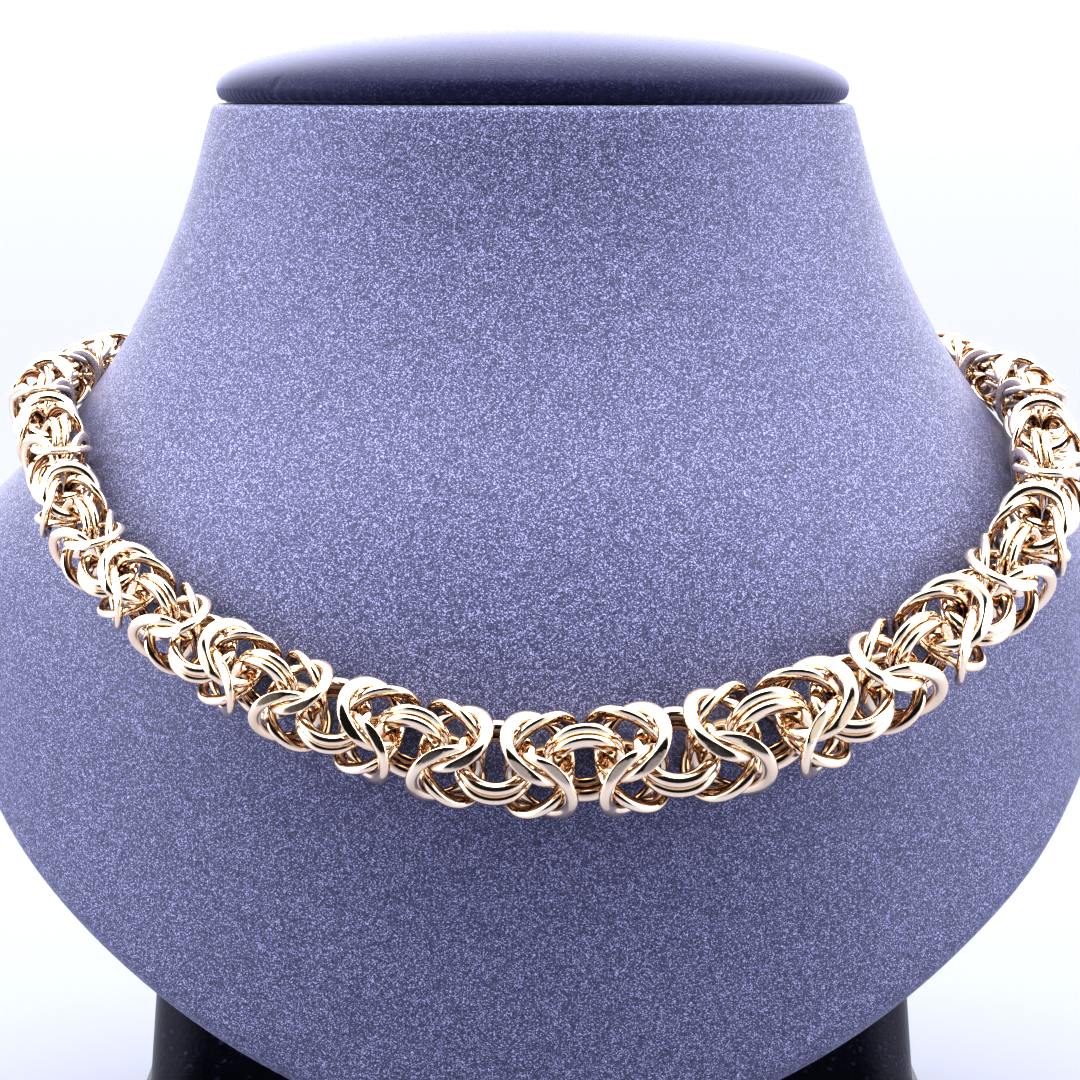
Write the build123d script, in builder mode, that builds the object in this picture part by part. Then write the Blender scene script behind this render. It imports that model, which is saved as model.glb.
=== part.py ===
from build123d import *

import os
from math import cos, pi, radians, sin

import numpy as np

os.makedirs("parts", exist_ok=True)

# All sizes are in millimetres. +Z is up, -Y is the front, and the origin is on the floor under the bust.

# Bust: horizontal oval sections of the covered form, from the floor end to the top of the neck
SECTION_COLUMNS = ("height", "half_width", "front", "back")
SECTIONS = (
    (10.0, 82.0, -59.0, 56.0),
    (50.0, 82.4, -61.5, 57.0),
    (81.0, 82.4, -60.0, 57.0),
    (98.0, 81.6, -56.5, 56.0),
    (107.0, 77.5, -52.7, 51.0),
    (114.0, 69.8, -49.0, 44.5),
    (124.0, 61.3, -43.0, 38.0),
    (136.0, 54.3, -37.0, 34.0),
    (148.0, 49.3, -32.8, 31.5),
    (162.0, 45.3, -30.0, 30.0),
)
LOFT_LEVELS = 20
CHEST_BACK = 12.0
SHOULDER_UNDERSIDE = 101.0
CHEST_EDGE_ROUNDING = 4.5
RIM_ROUNDING = 1.2

# Lower edge of the shield-shaped chest as the front is seen, from its middle to its side
CHEST_EDGE_COLUMNS = ("aside", "height")
CHEST_EDGE = (
    (0.0, 30.0),
    (32.0, 37.0),
    (50.0, 46.3),
    (61.0, 53.8),
    (70.0, 61.5),
    (77.0, 70.0),
    (84.0, 83.0),
)
CHEST_EDGE_SLOPE = 2.2

# Cap: a cushioned oval on the neck, apart from it by a dark joint line
CAP_SEAM = 0.3
CAP_EDGE_HEIGHT = 2.2
CAP_DOME_HEIGHT = 7.8
CAP_INSET = 0.4
CAP_UNDERCUT = 1.2
CAP_DOME_ANGLES = (0, 22, 44, 63, 77, 86)

# Foot: the dark upright support behind the chest
FOOT_HALF_WIDTH = 53.0
FOOT_FLARE = 8.5
FOOT_DEPTH = 36.0
FOOT_CORNER = 9.0
BASE_FRONT = -44.0
BASE_HEIGHT = 8.0
BASE_CORNER = 16.0
SEAT_GAP = 0.2

# Chain: the pitch is the distance from one knot to the next, largest at the middle of the chain,
# which lies to the right of the middle of the bust
FRONT_PITCH = 11.9
BACK_PITCH = 8.5
GRADED_LENGTH = 95.0
KNOTS_PER_SIDE = 20
SLIDE = 29.0

# Link sizes and places as shares of the local pitch. A knot is four links and a bridge is two links.
LINK_RADIUS = 0.3955
WIRE_WIDE = 0.1682
WIRE_THIN = 0.1227
KNOT_CENTRE = (-0.0225, 0.2109, 0.1840)
KNOT_TILT = 0.537
KNOT_TURN = 0.749
BRIDGE_CENTRE = (0.0611, -0.0448)
BRIDGE_TILT = 1.010
PRESSED_HALF_DEPTH = 0.517
PRESS_RADIUS = 2.0
SEAM_TURN = 25.0
LINK_GAP = 0.13
REST_GAP = 0.35

# Cross-section of the back of the chain, as shares of the pitch across it and out of the bust
BACK_OUTLINE_COLUMNS = ("across", "outward")
BACK_OUTLINE = (
    (0.0, -0.517),
    (0.36, -0.517),
    (-0.36, -0.517),
    (0.54, -0.36),
    (-0.54, -0.36),
    (0.60, 0.0),
    (-0.60, 0.0),
)
LIFT_STEPS = 6
PROBE_STEP = 0.01

# Easing of the links round the bends of the chain
LINK_SAMPLES = 48
SETTLE_STEPS = 400
SETTLE_MARGIN = 0.01
SETTLE_SHARE = 0.2
NEARLY_UPRIGHT = 0.9

# Clasp: a plain box with a loop soldered to each end, which the last bridges pass through
CLASP_HEIGHT = 8.0
CLASP_DEPTH = 4.6
CLASP_ROUNDING = 0.8
LOOP_RADIUS = 2.5
LOOP_WIRE = 1.1
LOOP_NEAR_CLEARANCE = 0.35

# Where the middle of the chain touches the bust: turn round the oval from the front in degrees, and height
DRAPE_COLUMNS = ("turn", "height")
DRAPE = (
    (-180.0, 127.0),
    (-120.0, 121.5),
    (-80.0, 117.6),
    (-60.0, 112.8),
    (-40.0, 101.2),
    (-20.0, 88.3),
    (0.0, 81.9),
    (20.0, 85.2),
    (40.0, 96.4),
    (60.0, 108.6),
    (80.0, 116.2),
    (120.0, 121.0),
    (180.0, 127.0),
)
STATIONS = 240


def slopes(xs, ys):
    """Slopes at the rows of a table that let a smooth curve through them swing past none of them."""
    steps = np.diff(xs)
    rises = np.diff(ys) / steps
    result = np.zeros(len(xs))
    result[0] = rises[0]
    result[-1] = rises[-1]
    for i in range(1, len(xs) - 1):
        if rises[i - 1] * rises[i] > 0:
            before = 2 * steps[i] + steps[i - 1]
            after = steps[i] + 2 * steps[i - 1]
            result[i] = (before + after) / (before / rises[i - 1] + after / rises[i])
    return result


def between(table, columns, name, place):
    """Value of one named column at a place between the rows of a table."""
    rows = np.array(table)
    xs = rows[:, 0]
    ys = rows[:, columns.index(name)]
    tangent = slopes(xs, ys)
    i = np.clip(np.searchsorted(xs, place) - 1, 0, len(xs) - 2)
    step = xs[i + 1] - xs[i]
    t = (place - xs[i]) / step
    start = (1 + 2 * t) * (1 - t) ** 2 * ys[i] + t * (1 - t) ** 2 * step * tangent[i]
    end = t * t * (3 - 2 * t) * ys[i + 1] + t * t * (t - 1) * step * tangent[i + 1]
    return start + end


def pitch_at(distance):
    """Distance between neighbouring knots, this far along the chain from its middle."""
    share = min(abs(distance) / GRADED_LENGTH, 1.0)
    return FRONT_PITCH + (BACK_PITCH - FRONT_PITCH) * share


def section_at(height):
    """Half width, middle and half depth of the bust's oval section at a height."""
    half_width = between(SECTIONS, SECTION_COLUMNS, "half_width", height)
    front = between(SECTIONS, SECTION_COLUMNS, "front", height)
    back = between(SECTIONS, SECTION_COLUMNS, "back", height)
    return half_width, (front + back) / 2, (back - front) / 2


def bust_clearance(points):
    """How far points lie outside the bust, from the ovals at their heights."""

    def share(at):
        half_width, middle, half_depth = section_at(at[:, 2])
        return np.hypot(at[:, 0] / half_width, (at[:, 1] - middle) / half_depth) - 1

    here = share(points)
    rise = np.array([share(points + step) - here for step in np.eye(3) * PROBE_STEP]) / PROBE_STEP
    return here / np.linalg.norm(rise, axis=0)


def drape_on(bust_side):
    """Where the middle of the chain touches the bust, once round, and the directions outward."""
    touches = []
    outwards = []
    for k in range(STATIONS):
        turn = -180 + 360 * k / STATIONS
        height = between(DRAPE, DRAPE_COLUMNS, "height", turn)
        half_width, middle, half_depth = section_at(height)
        ray = Vector(half_width * sin(radians(turn)), -half_depth * cos(radians(turn)), 0).normalized()
        hits = bust_side.find_intersection_points(Axis((0, middle, height), ray))
        touch, outward = hits[-1]
        if outward.dot(ray) < 0:
            outward = -outward
        touches.append(tuple(touch))
        outwards.append(tuple(outward))
    return np.array(touches), np.array(outwards)


class Route:
    """The closed line through the middle of the chain, measured from the middle of the front."""

    def __init__(self, touches, outwards):
        run = np.linalg.norm(np.roll(touches, -1, axis=0) - touches, axis=1)
        along = np.concatenate([[0.0], np.cumsum(run)[:-1]])
        along -= along[STATIONS // 2] + SLIDE
        pitch = np.array([pitch_at(a) for a in along])
        lift = PRESSED_HALF_DEPTH * pitch + REST_GAP
        for _ in range(LIFT_STEPS):
            self.points = touches + outwards * lift[:, None]
            forward = np.roll(self.points, -1, axis=0) - np.roll(self.points, 1, axis=0)
            forward /= np.linalg.norm(forward, axis=1, keepdims=True)
            across = np.cross(outwards, forward)
            gap = np.full(STATIONS, np.inf)
            for aside, out in BACK_OUTLINE:
                probe = self.points + pitch[:, None] * (aside * across + out * outwards)
                gap = np.minimum(gap, bust_clearance(probe))
            lift = lift + REST_GAP - gap
        self.outwards = outwards
        run = np.linalg.norm(np.roll(self.points, -1, axis=0) - self.points, axis=1)
        self.length = run.sum()
        self.along = np.concatenate([[0.0], np.cumsum(run)])
        self.along -= self.along[STATIONS // 2] + SLIDE

    def closed(self, rows, place):
        """Rows interpolated at a place along the closed line."""
        place = (place - self.along[0]) % self.length + self.along[0]
        wrapped = np.vstack([rows, rows[:1]])
        return np.array([np.interp(place, self.along, wrapped[:, axis]) for axis in range(3)])

    def frame(self, place):
        """Middle, forward, across and outward directions at a place along the chain."""
        middle = self.closed(self.points, place)
        half_step = self.length / STATIONS
        forward = self.closed(self.points, place + half_step) - self.closed(self.points, place - half_step)
        forward /= np.linalg.norm(forward)
        outward = self.closed(self.outwards, place)
        outward -= outward.dot(forward) * forward
        outward /= np.linalg.norm(outward)
        return middle, forward, np.cross(outward, forward), outward


def bridge_places():
    """Distances of the bridges from the middle of the chain, on one side."""
    places = [0.0]
    for _ in range(KNOTS_PER_SIDE):
        places.append(places[-1] + pitch_at(places[-1]))
    return places


def link_row(route, place, pitch, local_centre, local_axis, side, in_knot):
    """One link as a row: where it lies, its axis, its pitch, and the frame it is pressed flat in."""
    middle, forward, across, outward = route.frame(place)
    turned = np.array([forward, across, outward])
    return {
        "centre": middle + pitch * np.array(local_centre) @ turned,
        "axis": np.array(local_axis) @ turned,
        "pitch": pitch,
        "side": side,
        "in_knot": in_knot,
        "middle": middle,
        "outward": outward,
    }


def knot_links(route, place, pitch, side, slant):
    """The four links of one knot, each the others turned half round the chain's three axes."""
    centre = np.array(KNOT_CENTRE)
    axis = np.array([sin(KNOT_TILT), cos(KNOT_TILT) * sin(KNOT_TURN), cos(KNOT_TILT) * cos(KNOT_TURN)])
    rows = []
    for signs in ((1, 1, 1), (1, -1, -1), (-1, -1, 1), (-1, 1, -1)):
        flips = np.array([signs[0] * slant, signs[1], signs[2]])
        rows.append(link_row(route, place, pitch, centre * flips, axis * flips, side, True))
    return rows


def bridge_links(route, place, pitch, side, slant):
    """The two parallel links that join one knot to the next."""
    across, outward = BRIDGE_CENTRE
    axis = np.array([0.0, slant * cos(BRIDGE_TILT), -sin(BRIDGE_TILT)])
    rows = []
    for sign in (1, -1):
        centre = np.array([0.0, sign * slant * across, sign * outward])
        rows.append(link_row(route, place, pitch, centre, sign * axis, side, False))
    return rows


def chain_links(route):
    """Every open link, from the middle of the front to the last bridge on each side."""
    places = bridge_places()
    first, second = bridge_links(route, 0.0, FRONT_PITCH, "left", 1)
    second["side"] = "right"
    rows = [first, second]
    for side, direction in (("left", -1), ("right", 1)):
        for k in range(KNOTS_PER_SIDE):
            pitch = places[k + 1] - places[k]
            slant = -direction * (1 if k % 2 == 0 else -1)
            knot_place = direction * (places[k] + places[k + 1]) / 2
            rows += knot_links(route, knot_place, pitch, side, slant)
            bridge_slant = -1 if k % 2 == 0 else 1
            bridge_pitch = pitch_at(places[k + 1])
            rows += bridge_links(route, direction * places[k + 1], bridge_pitch, side, bridge_slant)
    return rows


def settle(rows):
    """Ease neighbouring links apart, by small shifts and turns, until each is clear of the others."""
    centres = np.array([row["centre"] for row in rows])
    axes = np.array([row["axis"] for row in rows])
    pitches = np.array([row["pitch"] for row in rows])
    radii = LINK_RADIUS * pitches
    wide = WIRE_WIDE / 2 * pitches
    thin = WIRE_THIN / 2 * pitches
    apart = np.linalg.norm(centres[:, None] - centres[None], axis=2)
    near = apart < (radii + wide)[:, None] + (radii + wide)[None] + LINK_GAP
    np.fill_diagonal(near, False)
    first, second = np.nonzero(near)
    angles = np.linspace(0, 2 * pi, LINK_SAMPLES, endpoint=False)
    for step in range(SETTLE_STEPS):
        helper = np.where(np.abs(axes[:, 2:]) < NEARLY_UPRIGHT, [[0.0, 0.0, 1.0]], [[1.0, 0.0, 0.0]])
        along = np.cross(helper, axes)
        along /= np.linalg.norm(along, axis=1, keepdims=True)
        other = np.cross(axes, along)
        spokes = np.cos(angles)[:, None] * along[:, None] + np.sin(angles)[:, None] * other[:, None]
        rims = centres[:, None] + radii[:, None, None] * spokes
        reach = rims[first] - centres[second][:, None]
        axis = axes[second][:, None]
        flat = reach - (reach * axis).sum(2, keepdims=True) * axis
        spoke = flat / np.linalg.norm(flat, axis=2, keepdims=True)
        offset = reach - radii[second][:, None, None] * spoke
        length = np.linalg.norm(offset, axis=2)
        push = offset / length[:, :, None]
        own = np.hypot(
            wide[first][:, None] * (push * spokes[first]).sum(2),
            thin[first][:, None] * (push * axes[first][:, None]).sum(2),
        )
        theirs = np.hypot(
            wide[second][:, None] * (push * spoke).sum(2),
            thin[second][:, None] * (push * axis).sum(2),
        )
        gaps = length - own - theirs
        closest = gaps.argmin(axis=1)
        pick = np.arange(len(first))
        gap = gaps[pick, closest]
        if gap.min() > LINK_GAP:
            break
        lack = np.clip(LINK_GAP + SETTLE_MARGIN - gap, 0, None)[:, None] * SETTLE_SHARE
        push = push[pick, closest]
        arm = rims[first][pick, closest] - centres[first]
        far_arm = rims[first][pick, closest] - offset[pick, closest] - centres[second]
        turn = np.cross(arm, push) * lack / (arm * arm).sum(1, keepdims=True)
        far_turn = np.cross(far_arm, -push) * lack / (far_arm * far_arm).sum(1, keepdims=True)
        shifts = np.zeros_like(centres)
        turns = np.zeros_like(centres)
        np.add.at(shifts, first, push * lack)
        np.add.at(shifts, second, -push * lack)
        np.add.at(turns, first, turn)
        np.add.at(turns, second, far_turn)
        centres = centres + shifts
        axes = axes + np.cross(turns, axes)
        axes /= np.linalg.norm(axes, axis=1, keepdims=True)
    print("links settled in", step, "steps, smallest gap", round(float(gap.min()), 3))
    for row, centre, axis in zip(rows, centres, axes):
        row["centre"] = centre
        row["axis"] = axis


def make_link(row):
    """A flattened round link, pressed flat at its front or back where it belongs to a knot."""
    pitch = row["pitch"]
    out = (row["centre"] - row["middle"]) @ row["outward"]
    pressed_side = row["outward"] * (1 if out > 0 else -1)
    away = (pressed_side @ row["axis"]) * row["axis"] - pressed_side
    seam = away * cos(radians(SEAM_TURN)) + np.cross(row["axis"], away) * sin(radians(SEAM_TURN))
    plane = Plane(origin=tuple(row["centre"]), x_dir=tuple(seam), z_dir=tuple(row["axis"]))
    wire_middle = plane.origin + plane.x_dir * (LINK_RADIUS * pitch)
    with BuildPart() as link:
        with BuildSketch(Plane(origin=wire_middle, x_dir=-plane.x_dir, z_dir=-plane.y_dir)):
            Ellipse(WIRE_WIDE / 2 * pitch, WIRE_THIN / 2 * pitch)
        revolve(axis=Axis(plane.origin, plane.z_dir))
        if row["in_knot"]:
            flat_middle = row["middle"] + PRESSED_HALF_DEPTH * pitch * pressed_side
            with BuildSketch(Plane(origin=tuple(flat_middle), z_dir=tuple(pressed_side))):
                Circle(PRESS_RADIUS * pitch)
            extrude(amount=pitch, mode=Mode.SUBTRACT)
    return link.part


def place_plane(route, place):
    """Plane at a place on the chain, with X along the chain and Z out of the bust."""
    middle, forward, across, outward = route.frame(place)
    return Plane(origin=tuple(middle), x_dir=tuple(forward), z_dir=tuple(outward))


def loop_reach():
    """Distance from a last bridge to the middle of the clasp's loop that it passes through."""
    wire_inner_side = (LINK_RADIUS - WIRE_WIDE / 2) * BACK_PITCH
    return wire_inner_side - LOOP_NEAR_CLEARANCE - LOOP_WIRE / 2 + LOOP_RADIUS


def loop_plane(route, place, direction):
    """Plane of the clasp loop beside the last bridge at a place, square to the bridge's links."""
    at = place_plane(route, place)
    slant = -1 if KNOTS_PER_SIDE % 2 == 1 else 1
    axis = at.y_dir * slant * sin(BRIDGE_TILT) + at.z_dir * cos(BRIDGE_TILT)
    return Plane(origin=at.origin + at.x_dir * (direction * loop_reach()), x_dir=at.x_dir, z_dir=axis)


# The bust: lofted ovals, a shield-shaped chest with a flat back, and a rounded neck rim
with BuildPart() as neck_bust:
    for level in range(LOFT_LEVELS):
        height = SECTIONS[0][0] + (SECTIONS[-1][0] - SECTIONS[0][0]) * level / (LOFT_LEVELS - 1)
        half_width, middle, half_depth = section_at(height)
        with BuildSketch(Plane.XY.offset(height)):
            with Locations((0, middle)):
                Ellipse(half_width, half_depth)
    loft()
    bust_side = neck_bust.faces().sort_by(SortBy.AREA)[-1]
    neck_top = SECTIONS[-1][0]
    fillet(neck_bust.edges().group_by(Axis.Z)[-1], radius=RIM_ROUNDING)
    chest_half_width, chest_side_bottom = CHEST_EDGE[-1]
    left_edge = [(-aside, height) for aside, height in reversed(CHEST_EDGE[1:])]
    with BuildSketch(Plane.XZ.offset(-chest_half_width)):
        with BuildLine():
            ends = ((1, -CHEST_EDGE_SLOPE), (1, CHEST_EDGE_SLOPE))
            edge = Spline(left_edge + list(CHEST_EDGE), tangents=ends)
            above = 2 * neck_top
            Polyline(edge @ 1, (chest_half_width, above), (-chest_half_width, above), edge @ 0)
        make_face()
    extrude(amount=2 * chest_half_width, mode=Mode.INTERSECT)
    lower_edges = neck_bust.edges().filter_by(lambda edge: edge.bounding_box().max.Z < chest_side_bottom)
    fillet(lower_edges, radius=CHEST_EDGE_ROUNDING)
    with BuildSketch(Plane.XY):
        with Locations((0, CHEST_BACK)):
            Rectangle(4 * chest_half_width, 2 * chest_half_width, align=(Align.CENTER, Align.MIN))
    extrude(amount=SHOULDER_UNDERSIDE, mode=Mode.SUBTRACT)
neck_bust.part.label = "neck_bust"

# The cushioned cap: a short undercut edge below a low dome
cap_middle = section_at(neck_top)[1]
cap_half_width = SECTIONS[-1][1] - CAP_INSET
cap_half_depth = (SECTIONS[-1][3] - SECTIONS[-1][2]) / 2 - CAP_INSET
cap_bottom = neck_top + CAP_SEAM
with BuildPart() as bust_cap:
    with BuildSketch(Plane.XY.offset(cap_bottom)):
        with Locations((0, cap_middle)):
            Ellipse(cap_half_width - CAP_UNDERCUT, cap_half_depth - CAP_UNDERCUT)
    for angle in CAP_DOME_ANGLES:
        share = cos(radians(angle))
        height = cap_bottom + CAP_EDGE_HEIGHT + CAP_DOME_HEIGHT * sin(radians(angle))
        with BuildSketch(Plane.XY.offset(height)):
            with Locations((0, cap_middle)):
                Ellipse(cap_half_width * share, cap_half_depth * share)
    loft()
bust_cap.part.label = "bust_cap"

# The dark support: an upright behind the chest on a base plate that reaches forward under it
foot_middle = CHEST_BACK + SEAT_GAP + FOOT_DEPTH / 2
foot_back = CHEST_BACK + SEAT_GAP + FOOT_DEPTH
base_half_width = FOOT_HALF_WIDTH + FOOT_FLARE
with BuildPart() as bust_foot:
    with BuildSketch(Plane.XY):
        with Locations((0, foot_middle)):
            RectangleRounded(2 * base_half_width, FOOT_DEPTH, FOOT_CORNER)
    with BuildSketch(Plane.XY.offset(SHOULDER_UNDERSIDE - SEAT_GAP)):
        with Locations((0, foot_middle)):
            RectangleRounded(2 * FOOT_HALF_WIDTH, FOOT_DEPTH, FOOT_CORNER)
    loft()
    with BuildSketch(Plane.XY):
        with Locations((0, (BASE_FRONT + foot_back) / 2)):
            RectangleRounded(2 * base_half_width, foot_back - BASE_FRONT, BASE_CORNER)
    extrude(amount=BASE_HEIGHT)
bust_foot.part.label = "bust_foot"

# The open links of the chain, in two halves that are linked at the middle of the front
route = Route(*drape_on(bust_side))
rows = chain_links(route)
settle(rows)
halves = {"left": [], "right": []}
for row in rows:
    halves[row["side"]].append(make_link(row))
chain_left = Compound(halves["left"])
chain_left.label = "chain_left"
chain_right = Compound(halves["right"])
chain_right.label = "chain_right"

# The clasp, at the back of the neck
last_bridge = bridge_places()[-1]
clasp_room = route.length - 2 * last_bridge
clasp_half = clasp_room / 2 - loop_reach() - LOOP_RADIUS
with BuildPart() as clasp:
    with BuildSketch(place_plane(route, route.length / 2)):
        Rectangle(2 * clasp_half, CLASP_HEIGHT)
    extrude(amount=CLASP_DEPTH / 2, both=True)
    fillet(clasp.edges(), radius=CLASP_ROUNDING)
    for direction in (-1, 1):
        plane = loop_plane(route, direction * last_bridge, direction)
        start = plane.origin + plane.x_dir * LOOP_RADIUS
        with BuildSketch(Plane(origin=start, x_dir=plane.x_dir, z_dir=plane.y_dir)):
            Circle(LOOP_WIRE / 2)
        revolve(axis=Axis(plane.origin, plane.z_dir))
clasp.part.label = "clasp"

export_step(neck_bust.part, "parts/neck_bust.step")
export_step(bust_cap.part, "parts/bust_cap.step")
export_step(bust_foot.part, "parts/bust_foot.step")
export_step(chain_left, "parts/chain_left.step")
export_step(chain_right, "parts/chain_right.step")
export_step(clasp.part, "parts/clasp.step")

print("chain length", round(route.length, 1), "room for the clasp", round(clasp_room, 1))
print("clasp box length", round(2 * clasp_half, 1), "open links", len(rows))
print("links pressed flat", sum(len(link.faces()) == 2 for link in halves["left"] + halves["right"]))
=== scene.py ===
from math import cos, pi, radians, sin

import bpy
import numpy as np
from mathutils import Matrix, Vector


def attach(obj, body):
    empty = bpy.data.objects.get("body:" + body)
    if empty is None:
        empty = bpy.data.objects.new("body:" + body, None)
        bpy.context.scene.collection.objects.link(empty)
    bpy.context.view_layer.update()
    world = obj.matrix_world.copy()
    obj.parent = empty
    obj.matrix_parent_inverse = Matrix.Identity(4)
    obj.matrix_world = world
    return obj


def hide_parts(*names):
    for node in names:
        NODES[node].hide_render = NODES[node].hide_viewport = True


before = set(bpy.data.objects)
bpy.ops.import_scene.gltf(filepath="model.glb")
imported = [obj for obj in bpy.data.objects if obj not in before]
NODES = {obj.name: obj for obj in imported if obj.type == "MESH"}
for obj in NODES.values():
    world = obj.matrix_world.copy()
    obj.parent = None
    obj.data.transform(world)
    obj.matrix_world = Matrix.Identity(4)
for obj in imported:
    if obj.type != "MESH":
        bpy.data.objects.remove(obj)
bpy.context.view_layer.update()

# Link sizes as shares of the pitch, as in the CAD part
LINK_RADIUS = 0.3955
WIRE_WIDE = 0.1682
WIRE_THIN = 0.1227
# Grid of one link: round the ring and round the wire
FRONT_GRID = (52, 20)
BACK_GRID = (44, 18)
FRONT_LIMIT_Y = 0.0
PRESS_ROUNDING = 0.00005
# Share of a link's surface above which one direction counts as its pressed flat
FLAT_SHARE = 0.008
# Reading the CAD mesh: points nearer than this are one, smaller faces are skipped
WELD = 1e-7
LEAST_AREA = 1e-13
FIT_ROUNDS = 12
FIT_STEP = 1e-7
FIT_DONE = 1e-9
# Painted shade in the gold's recesses: where a point starts to face inward and where it fully does,
# and the reach of its surroundings as a share of the pitch
RECESS_SHADE_START = 0.30
RECESS_SHADE_FULL = -0.35
RECESS_SHADE_SPREAD = 0.55
RECESS_BATCH = 20000
# Painted shade on the leather where it is enclosed, as in the holes of the chain: how near the cover
# is, and the open share that is dark or clear
SHADE_AO_REACH = 0.006
SHADE_AO_DARK = 0.30
SHADE_AO_CLEAR = 0.58

# Cushioned cap: its rings, the undercut side, the puckers at the joint and the crease in the leather
CAP_AROUND = 480
CAP_RINGS = 44
CAP_SIDE_SHARE = 0.3
CAP_SIDE_HEIGHT = 0.0018
CAP_UNDERCUT = 0.028
CAP_INSET = 0.00005
CAP_PLEATS = 140
CAP_PUCKER_HEIGHT = 0.0020
CAP_PUCKER_DEPTH = 0.00022
CAP_SAG_DEPTH = 0.00015
CAP_CREASE_TURN = -0.90
CAP_CREASE_LEAN = 0.12
CAP_CREASE_DEPTH = 0.00030
CAP_CREASE_WIDTH = 0.012
CAP_CREASE_SHARE = 0.22
CAP_CREASE_REACH = 0.08
CAP_STEP_IN = 0.0002
CAP_STEP_DOWN = 0.00022

# Noise values between which a colour or a roughness changes
NOISE_LOW = 0.3
NOISE_HIGH = 0.7
GOLD_CLOUD_SCALE = 260.0
GOLD_FINE_SCALE = 1400.0
GOLD_BUMP = 0.00003
LEATHER_CLOUD_SCALE = 30.0
ROUGHNESS_SPREAD = 0.08
STREAK_STRETCH = (1.0, 1.0, 0.12)
STREAK_SHADE = 0.25

# The light tent: its dark opening at the front, its angles and its strengths
OPENING_TOWARD = (0.0, -0.955, 0.296)
OPENING_OUTER = radians(46)
OPENING_INNER = radians(36)
OPENING_STRENGTH = 0.005
FLOOR_HALF = 6.0


# ---------------------------------------------------------------- node helpers
def new_material(name):
    """A material with a principled shader and its output."""
    material = bpy.data.materials.new(name)
    material.use_nodes = True
    tree = material.node_tree
    tree.nodes.clear()
    output = tree.nodes.new("ShaderNodeOutputMaterial")
    shader = tree.nodes.new("ShaderNodeBsdfPrincipled")
    tree.links.new(shader.outputs["BSDF"], output.inputs["Surface"])
    return material, tree, shader


def node(tree, kind, inputs=None, **settings):
    """A node with its inputs linked or set."""
    made = tree.nodes.new(kind)
    for key, value in settings.items():
        setattr(made, key, value)
    for key, value in (inputs or {}).items():
        if isinstance(value, bpy.types.NodeSocket):
            tree.links.new(value, made.inputs[key])
        else:
            made.inputs[key].default_value = value
    return made


def set_inputs(tree, shader, **inputs):
    for key, value in inputs.items():
        socket = shader.inputs[key.replace("_", " ")]
        if isinstance(value, bpy.types.NodeSocket):
            tree.links.new(value, socket)
        else:
            socket.default_value = value


def ramp(tree, factor, stops):
    """Colours along a factor, each stop a place and a colour."""
    made = tree.nodes.new("ShaderNodeValToRGB")
    while len(made.color_ramp.elements) < len(stops):
        made.color_ramp.elements.new(0.5)
    for element, (place, colour) in zip(made.color_ramp.elements, stops):
        element.position = place
        element.color = (*colour, 1.0)
    tree.links.new(factor, made.inputs["Fac"])
    return made.outputs["Color"]


def wear_map(tree, factor, low, high, to_low, to_high):
    """The factor mapped from one range to another, held at its ends."""
    made = node(
        tree,
        "ShaderNodeMapRange",
        {"Value": factor, "From Min": low, "From Max": high, "To Min": to_low, "To Max": to_high},
    )
    return made.outputs["Result"]


def mixed_colour(tree, factor, first, second):
    """A mix of two colours, each a socket or a tuple."""
    made = tree.nodes.new("ShaderNodeMix")
    made.data_type = "RGBA"
    sockets = (made.inputs[0], made.inputs[6], made.inputs[7])
    for socket, value in zip(sockets, (factor, first, second)):
        if isinstance(value, bpy.types.NodeSocket):
            tree.links.new(value, socket)
        elif isinstance(value, tuple):
            socket.default_value = (*value, 1.0)
        else:
            socket.default_value = value
    return made.outputs[2]


def noise(tree, place, scale, detail=3.0):
    """The factor of a noise texture."""
    made = node(tree, "ShaderNodeTexNoise", {"Vector": place, "Scale": scale, "Detail": detail})
    return made.outputs["Fac"]


# ---------------------------------------------------------------- materials
def gold_material():
    """Polished gold with a faint cloud, fine scratches and painted shade in its recesses."""
    material, tree, shader = new_material("polished_gold")
    place = node(tree, "ShaderNodeTexCoord").outputs["Object"]
    cloud = noise(tree, place, GOLD_CLOUD_SCALE)
    fine = noise(tree, place, GOLD_FINE_SCALE)
    clean = ramp(tree, cloud, ((NOISE_LOW, (1.0, 0.76, 0.53)), (NOISE_HIGH, (1.0, 0.81, 0.60))))
    recess_shade = node(tree, "ShaderNodeAttribute", attribute_name="recess_shade").outputs["Fac"]
    # Painted shade: the gold's colour darkens to brown where it faces into the chain
    colour = mixed_colour(tree, recess_shade, clean, (0.24, 0.13, 0.07))
    set_inputs(
        tree,
        shader,
        Base_Color=colour,
        Metallic=1.0,
        Roughness=wear_map(tree, cloud, NOISE_LOW, NOISE_HIGH, 0.06, 0.11),
    )
    bump = node(tree, "ShaderNodeBump", {"Height": fine, "Strength": 0.10, "Distance": GOLD_BUMP})
    tree.links.new(bump.outputs["Normal"], shader.inputs["Normal"])
    return material


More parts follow.
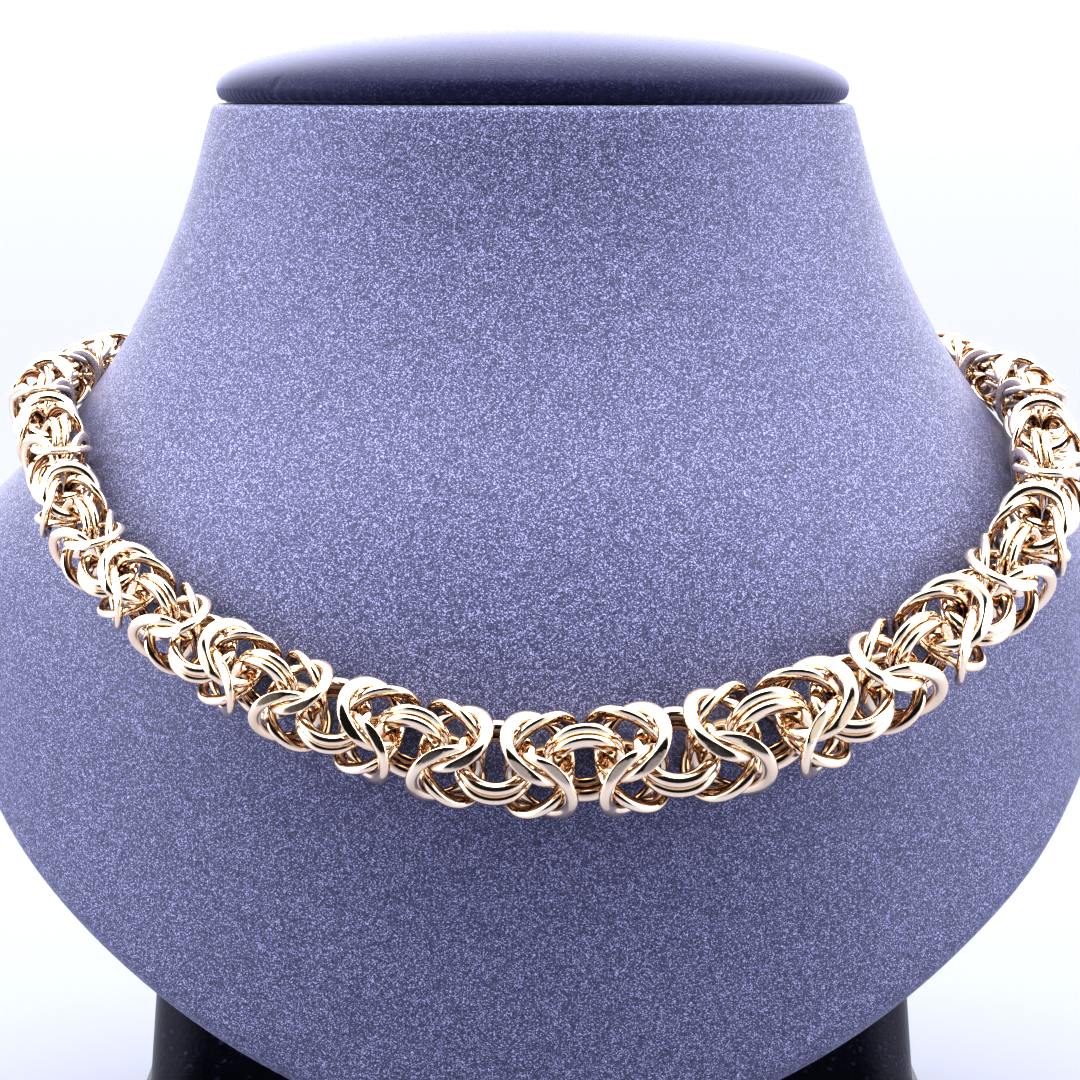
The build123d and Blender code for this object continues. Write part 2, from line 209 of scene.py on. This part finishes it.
def leatherette(name, base, light, glint_speck, glint_share, grain_scale, bump_depth, **finish):
    """Fine-grained leatherette: dark base, lighter grain, pearl specks painted as glints, faint
    upright streaks, and painted shade where the leather is enclosed.
    """
    material, tree, shader = new_material(name)
    place = node(tree, "ShaderNodeTexCoord").outputs["Object"]
    cells = node(tree, "ShaderNodeTexVoronoi", {"Vector": place, "Scale": grain_scale})
    grain = noise(tree, place, grain_scale * 0.6)
    cloud = noise(tree, place, LEATHER_CLOUD_SCALE)
    height = node(
        tree, "ShaderNodeMath", {0: grain, 1: cells.outputs["Distance"]}, operation="MULTIPLY"
    ).outputs[0]
    stretched = node(
        tree, "ShaderNodeVectorMath", {0: place, 1: STREAK_STRETCH}, operation="MULTIPLY"
    ).outputs[0]
    streak = noise(tree, stretched, grain_scale * 0.5, 2.0)
    shade = wear_map(tree, streak, NOISE_LOW, NOISE_HIGH, STREAK_SHADE, 0.0)
    tint = mixed_colour(tree, shade, ramp(tree, grain, ((0.32, base), (0.68, light))), base)
    # Pearl specks, a lighter colour at random cells, painted to stand for the glints of the grain
    glint_cells = node(tree, "ShaderNodeTexVoronoi", {"Vector": place, "Scale": grain_scale * 1.1})
    pick = node(tree, "ShaderNodeSeparateColor", {"Color": glint_cells.outputs["Color"]}).outputs["Red"]
    painted_glint = wear_map(tree, pick, 1.0 - glint_share, 1.0, 0.0, 1.0)
    # Painted shade: the leather's colour darkens to its base where it is enclosed, as in the holes of
    # the chain
    occlusion = node(tree, "ShaderNodeAmbientOcclusion", {"Distance": SHADE_AO_REACH}, samples=6)
    painted_shade = wear_map(tree, occlusion.outputs["AO"], SHADE_AO_DARK, SHADE_AO_CLEAR, 1.0, 0.0)
    rough = finish["rough"]
    set_inputs(
        tree,
        shader,
        Base_Color=mixed_colour(tree, painted_shade, mixed_colour(tree, painted_glint, tint, glint_speck), base),
        Roughness=wear_map(tree, cloud, NOISE_LOW, NOISE_HIGH, rough, rough + ROUGHNESS_SPREAD),
        Specular_IOR_Level=finish["specular"],
        Specular_Tint=(*finish["tint"], 1.0),
        Sheen_Weight=finish["sheen"],
        Sheen_Roughness=0.4,
        Sheen_Tint=(*finish["tint"], 1.0),
    )
    bump = node(tree, "ShaderNodeBump", {"Height": height, "Strength": 0.5, "Distance": bump_depth})
    tree.links.new(bump.outputs["Normal"], shader.inputs["Normal"])
    return material


GOLD = gold_material()
BUST = leatherette(
    "grey_violet_leatherette",
    base=(0.003, 0.004, 0.010),
    light=(0.048, 0.050, 0.110),
    glint_speck=(0.30, 0.30, 0.53),
    glint_share=0.26,
    grain_scale=7600.0,
    bump_depth=0.00006,
    rough=0.46,
    specular=0.40,
    tint=(0.62, 0.63, 1.0),
    sheen=0.05,
)
CAP = leatherette(
    "navy_leatherette_stretched",
    base=(0.0010, 0.0010, 0.005),
    light=(0.003, 0.003, 0.012),
    glint_speck=(0.012, 0.012, 0.038),
    glint_share=0.25,
    grain_scale=4200.0,
    bump_depth=0.00010,
    rough=0.36,
    specular=0.13,
    tint=(0.42, 0.44, 1.0),
    sheen=0.30,
)
DARK = leatherette(
    "navy_leatherette",
    base=(0.0004, 0.0004, 0.0015),
    light=(0.001, 0.001, 0.004),
    glint_speck=(0.012, 0.012, 0.03),
    glint_share=0.06,
    grain_scale=1700.0,
    bump_depth=0.00012,
    rough=0.30,
    specular=0.16,
    tint=(0.75, 0.76, 1.0),
    sheen=0.0,
)


# ---------------------------------------------------------------- chain
def loose_parts(obj):
    """Vertices and triangles of each separate link in a CAD node's mesh."""
    mesh = obj.data
    points = np.empty(len(mesh.vertices) * 3)
    mesh.vertices.foreach_get("co", points)
    points = points.reshape(-1, 3)
    mesh.calc_loop_triangles()
    corners = np.empty(len(mesh.loop_triangles) * 3, int)
    mesh.loop_triangles.foreach_get("vertices", corners)
    corners = corners.reshape(-1, 3)
    whole = np.round(points / WELD).astype(np.int64)
    welded, index = np.unique(whole, axis=0, return_inverse=True)
    index = index.reshape(-1)
    points = welded * WELD
    corners = index[corners]
    label = np.arange(len(points))
    while True:
        lowest = label[corners].min(axis=1)
        new = label.copy()
        for k in range(3):
            np.minimum.at(new, corners[:, k], lowest)
        new = new[new]
        if (new == label).all():
            break
        label = new
    parts = []
    face_label = label[corners[:, 0]]
    for name in np.unique(face_label):
        faces = corners[face_label == name]
        used, inner = np.unique(faces, return_inverse=True)
        parts.append((points[used], inner.reshape(-1, 3)))
    return parts


def pressed_plane(points, faces):
    """Normal and offset of the flat that a link was pressed to, or None."""
    a, b, c = (points[faces[:, k]] for k in range(3))
    normal = np.cross(b - a, c - a)
    area = np.linalg.norm(normal, axis=1)
    keep = area > LEAST_AREA
    normal, area, at = normal[keep] / area[keep, None], area[keep], a[keep]
    rounded, index = np.unique(np.round(normal, 3), axis=0, return_inverse=True)
    index = index.reshape(-1)
    total = np.bincount(index, weights=area)
    best = total.argmax()
    if total[best] < FLAT_SHARE * area.sum():
        return None
    inside = index == best
    direction = (normal[inside] * area[inside, None]).sum(0)
    direction /= np.linalg.norm(direction)
    return direction, float(np.median(at[inside] @ direction))


def fit_link(points, flat):
    """Centre, axis and pitch of a link, from the points of its mesh that lie on the ring."""
    if flat is not None:
        points = points[points @ flat[0] < flat[1] - 1e-6]
    centre = (points.min(0) + points.max(0)) / 2
    axis = np.linalg.svd(points - points.mean(0), full_matrices=False)[2][2]
    pitch = np.linalg.norm(points - centre, axis=1).max() / (LINK_RADIUS + WIRE_WIDE / 2)

    def miss(values):
        axis = values[3:6] / np.linalg.norm(values[3:6])
        reach = points - values[:3]
        height = reach @ axis
        out = np.linalg.norm(reach - height[:, None] * axis, axis=1)
        pitch = values[6]
        wide = (out - LINK_RADIUS * pitch) / (WIRE_WIDE / 2)
        thin = height / (WIRE_THIN / 2)
        return wide ** 2 + thin ** 2 - pitch * pitch

    values = np.array([*centre, *(axis * pitch), pitch])
    for _ in range(FIT_ROUNDS):
        now = miss(values)
        slopes = [(miss(values + FIT_STEP * unit) - now) / FIT_STEP for unit in np.eye(7)]
        jacobian = np.array(slopes).T
        change = np.linalg.lstsq(jacobian, -now, rcond=1e-9)[0]
        values = values + change
        if np.abs(change).max() < FIT_DONE:
            break
    axis = values[3:6] / np.linalg.norm(values[3:6])
    error = np.sqrt(np.mean(miss(values) ** 2)) / values[6] ** 2
    return values[:3], axis, values[6], error


def link_mesh(centre, axis, pitch, flat, grid):
    """Vertices and quads of one oval-wire link, eased down to the flat that it was pressed to."""
    around, section = grid
    toward = flat[0] if flat is not None else np.array([0.0, -1.0, 0.0])
    start = toward - (toward @ axis) * axis
    start /= np.linalg.norm(start)
    side = np.cross(axis, start)
    turn = 2 * pi * np.arange(around) / around
    lap = 2 * pi * np.arange(section) / section
    spoke = np.cos(turn)[:, None] * start + np.sin(turn)[:, None] * side
    wide = (LINK_RADIUS + WIRE_WIDE / 2 * np.cos(lap)) * pitch
    thin = WIRE_THIN / 2 * np.sin(lap) * pitch
    points = centre + wide[None, :, None] * spoke[:, None] + thin[None, :, None] * axis
    points = points.reshape(-1, 3)
    if flat is not None:
        height = points @ flat[0] - flat[1]
        eased = (height - np.sqrt(height * height + PRESS_ROUNDING ** 2)) / 2
        near = height > -6 * PRESS_ROUNDING
        points[near] += ((eased - height)[:, None] * flat[0])[near]
    i, j = np.meshgrid(np.arange(around), np.arange(section), indexing="ij")
    i2, j2 = (i + 1) % around, (j + 1) % section
    corners = (i * section + j, i2 * section + j, i2 * section + j2, i * section + j2)
    return points, np.stack(corners, axis=2).reshape(-1, 4)


def place_object(name, data):
    obj = bpy.data.objects.new(name, data)
    bpy.context.scene.collection.objects.link(obj)
    return obj


def mesh_object(name, points, faces, material, flat_faces=0):
    """A smooth object of the points and faces, the last few faces left flat."""
    mesh = bpy.data.meshes.new(name)
    mesh.from_pydata(points.tolist(), [], faces)
    mesh.validate()
    smooth = [True] * (len(mesh.polygons) - flat_faces) + [False] * flat_faces
    mesh.polygons.foreach_set("use_smooth", smooth)
    mesh.update()
    mesh.materials.append(material)
    return place_object(name, mesh)


def mark_recess_shade(piece, centres, pitches):
    """Store how far each point of the links faces the inside of the chain, the mask of the gold's
    painted shade.
    """
    mesh = piece.data
    points = np.empty(len(mesh.vertices) * 3)
    normals = np.empty(len(mesh.vertices) * 3)
    mesh.vertices.foreach_get("co", points)
    mesh.vertices.foreach_get("normal", normals)
    points = points.reshape(-1, 3)
    normals = normals.reshape(-1, 3)
    facing = np.empty(len(points))
    for start in range(0, len(points), RECESS_BATCH):
        part = slice(start, start + RECESS_BATCH)
        apart = np.linalg.norm(points[part, None] - centres[None], axis=2)
        weight = np.exp(-((apart / (RECESS_SHADE_SPREAD * pitches)) ** 2))
        middle = (weight @ centres) / weight.sum(1, keepdims=True)
        outward = points[part] - middle
        outward /= np.linalg.norm(outward, axis=1, keepdims=True)
        facing[part] = (normals[part] * outward).sum(1)
    share = np.clip((RECESS_SHADE_START - facing) / (RECESS_SHADE_START - RECESS_SHADE_FULL), 0.0, 1.0)
    attribute = mesh.attributes.new("recess_shade", "FLOAT", "POINT")
    attribute.data.foreach_set("value", share * share * (3.0 - 2.0 * share))


worst = 0.0
fitted = []
for side in ("left", "right"):
    for points, faces in loose_parts(NODES[f"chain_{side}"]):
        flat = pressed_plane(points, faces)
        centre, axis, pitch, error = fit_link(points, flat)
        worst = max(worst, error)
        part = "front" if centre[1] < FRONT_LIMIT_Y else "back"
        fitted.append((side, part, centre, axis, pitch, flat))
link_centres = np.array([link[2] for link in fitted])
link_pitches = np.array([link[4] for link in fitted])
for side in ("left", "right"):
    for part, grid in (("front", FRONT_GRID), ("back", BACK_GRID)):
        links = [link[2:] for link in fitted if link[:2] == (side, part)]
        all_points, all_faces, count = [], [], 0
        for link in links:
            points, faces = link_mesh(*link, grid)
            all_points.append(points)
            all_faces.append(faces + count)
            count += len(points)
        rows, faces = np.vstack(all_points), np.vstack(all_faces).tolist()
        piece = mesh_object(f"links_{side}_{part}", rows, faces, GOLD)
        mark_recess_shade(piece, link_centres, link_pitches)
        print("links", side, part, len(links), "triangles", 2 * len(piece.data.polygons))
        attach(piece, "root")
        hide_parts(f"chain_{side}")
print("worst link fit", worst)


# ---------------------------------------------------------------- cushioned cap
def cap_points():
    """Rings of the padded cap, pulled in at the joint with small puckers and one crease."""
    cap = NODES["bust_cap"]
    corners = [cap.matrix_world @ Vector(corner) for corner in cap.bound_box]
    low = np.min(corners, axis=0)
    high = np.max(corners, axis=0)
    middle = (low + high) / 2
    half_width, half_depth = (high - low)[:2] / 2
    turn = 2 * pi * np.arange(CAP_AROUND) / CAP_AROUND
    rows = []

    def add_row(x, y, height):
        rows.append(np.stack([x, y, np.full(CAP_AROUND, low[2] + CAP_INSET + height)], axis=1))

    core_width = half_width * (1.0 - CAP_UNDERCUT) - CAP_STEP_IN
    core_depth = half_depth * (1.0 - CAP_UNDERCUT) - CAP_STEP_IN
    for height in (-CAP_STEP_DOWN, 0.0):
        add_row(middle[0] + core_width * np.sin(turn), middle[1] - core_depth * np.cos(turn), height)
    for k in range(CAP_RINGS):
        step = k / (CAP_RINGS - 1)
        if step < CAP_SIDE_SHARE:
            rise = step / CAP_SIDE_SHARE
            height = CAP_SIDE_HEIGHT * rise
            reach = 1.0 - CAP_UNDERCUT * (1.0 - (1.0 - (1.0 - rise) ** 2) ** 0.5)
        else:
            angle = pi / 2 * (step - CAP_SIDE_SHARE) / (1.0 - CAP_SIDE_SHARE)
            dome = high[2] - low[2] - CAP_SIDE_HEIGHT - CAP_INSET
            height = CAP_SIDE_HEIGHT + dome * sin(angle)
            reach = cos(angle)
        lowness = max(0.0, 1.0 - height / CAP_PUCKER_HEIGHT)
        pleats = np.sin(CAP_PLEATS * turn + 2.6 * np.sin(5 * turn) + 1.7 * np.sin(11 * turn))
        sag = 0.5 + 0.5 * np.sin(3 * turn + 1.0) * np.sin(7 * turn)
        dent = CAP_PUCKER_DEPTH * lowness * (0.5 + 0.5 * pleats)
        dent = dent + CAP_SAG_DEPTH * sag * cos(pi / 2 * step)
        share = height / (high[2] - low[2])
        bend = turn - CAP_CREASE_TURN - CAP_CREASE_LEAN * (share - CAP_CREASE_SHARE)
        bend = (bend + pi) % (2 * pi) - pi
        along = (share - CAP_CREASE_SHARE) / CAP_CREASE_REACH
        dent = dent + CAP_CREASE_DEPTH * np.exp(-(bend / CAP_CREASE_WIDTH) ** 2 - along ** 2)
        outward = np.stack([np.sin(turn), -np.cos(turn)], axis=1)
        x = middle[0] + (half_width - CAP_INSET) * reach * outward[:, 0] - dent * outward[:, 0]
        y = middle[1] + (half_depth - CAP_INSET) * reach * outward[:, 1] - dent * outward[:, 1]
        if reach < 1e-6:
            rows.append(np.array([[middle[0], middle[1], low[2] + height]]))
        else:
            add_row(x, y, height)
    return rows


def cap_piece():
    """The closed mesh of the cap: rings of quads, a fan at the top and one face below."""
    rows = cap_points()
    points = np.vstack(rows)
    faces = []
    rings = len(rows) - 1
    for k in range(rings - 1):
        low, high = k * CAP_AROUND, (k + 1) * CAP_AROUND
        for i in range(CAP_AROUND):
            i2 = (i + 1) % CAP_AROUND
            faces.append((low + i, low + i2, high + i2, high + i))
    top = len(points) - 1
    last = (rings - 1) * CAP_AROUND
    faces += [(last + i, last + (i + 1) % CAP_AROUND, top) for i in range(CAP_AROUND)]
    faces.append(tuple(range(CAP_AROUND - 1, -1, -1)))
    return mesh_object("cap_pad", points, faces, CAP, flat_faces=1)


cap_pad = cap_piece()
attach(cap_pad, "root")
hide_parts("bust_cap")

NODE_MATERIALS = {
    "clasp": GOLD,
    "neck_bust": BUST,
    "bust_cap": CAP,
    "bust_foot": DARK,
    "chain_left": GOLD,
    "chain_right": GOLD,
}
for name, material in NODE_MATERIALS.items():
    NODES[name].data.materials.clear()
    NODES[name].data.materials.append(material)


# ---------------------------------------------------------------- stage, camera and lights
def floor_material():
    material, tree, shader = new_material("pale_floor")
    set_inputs(tree, shader, Base_Color=(0.15, 0.158, 0.205, 1.0), Roughness=0.6)
    return material


floor_mesh = bpy.data.meshes.new("floor")
floor_corners = [(x * FLOOR_HALF, y * FLOOR_HALF, 0) for x, y in ((-1, -1), (1, -1), (1, 1), (-1, 1))]
floor_mesh.from_pydata(floor_corners, [], [(0, 1, 2, 3)])
floor = place_object("floor", floor_mesh)
floor.data.materials.append(floor_material())

camera_data = bpy.data.cameras.new("camera")
camera_data.lens = 88.0
camera_data.sensor_width = 36.0
camera_data.clip_start = 0.01
camera_data.clip_end = 50.0
camera = place_object("camera", camera_data)
camera.location = (-0.004, -0.380, 0.166)
camera.rotation_euler = (radians(90.0 - 10.0), 0.0, radians(-0.75))
bpy.context.scene.camera = camera


def area_light(name, place, target, size, power, colour=(1.0, 1.0, 1.0)):
    data = bpy.data.lights.new(name, "AREA")
    data.shape = "RECTANGLE"
    data.size, data.size_y = size
    data.energy = power
    data.color = colour
    obj = place_object(name, data)
    obj.location = place
    obj.rotation_euler = (Vector(target) - Vector(place)).to_track_quat("-Z", "Y").to_euler()


area_light("top_soft", (0.0, -0.15, 0.75), (0, 0, 0.09), (0.9, 0.5), 12.5)
area_light("left_soft", (-0.6, -0.24, 0.26), (0, 0, 0.08), (0.5, 0.6), 7.0, (0.93, 0.95, 1.0))
area_light("right_soft", (0.6, -0.24, 0.26), (0, 0, 0.08), (0.5, 0.6), 7.0, (0.93, 0.95, 1.0))

# A white light tent, brighter above and behind, with a dark opening at the front
world = bpy.data.worlds.new("studio")
world.use_nodes = True
tree = world.node_tree
tree.nodes.clear()
direction = node(tree, "ShaderNodeTexCoord").outputs["Generated"]
front = node(
    tree, "ShaderNodeVectorMath", {0: direction, 1: OPENING_TOWARD}, operation="DOT_PRODUCT"
).outputs["Value"]
opening = wear_map(tree, front, cos(OPENING_OUTER), cos(OPENING_INNER), 1.0, OPENING_STRENGTH)
behind = wear_map(tree, front, 0.6, -0.8, 0.9, 2.4)
rise = node(tree, "ShaderNodeSeparateXYZ", {"Vector": direction}).outputs["Z"]
above = wear_map(tree, rise, -0.15, 0.5, 0.9, 2.4)
shape = node(tree, "ShaderNodeMath", {0: behind, 1: above}, operation="MULTIPLY").outputs[0]
strength = node(tree, "ShaderNodeMath", {0: opening, 1: shape}, operation="MULTIPLY").outputs[0]
tent = node(tree, "ShaderNodeBackground", {"Color": (0.95, 0.96, 1.0, 1.0), "Strength": strength})
white = node(tree, "ShaderNodeBackground", {"Color": (1.0, 1.0, 1.0, 1.0), "Strength": 1.1})
seen = node(tree, "ShaderNodeLightPath").outputs["Is Camera Ray"]
mix = node(tree, "ShaderNodeMixShader", {0: seen, 1: tent.outputs[0], 2: white.outputs[0]})
output = node(tree, "ShaderNodeOutputWorld", {"Surface": mix.outputs[0]})
bpy.context.scene.world = world
bpy.context.scene.view_settings.view_transform = "Standard"
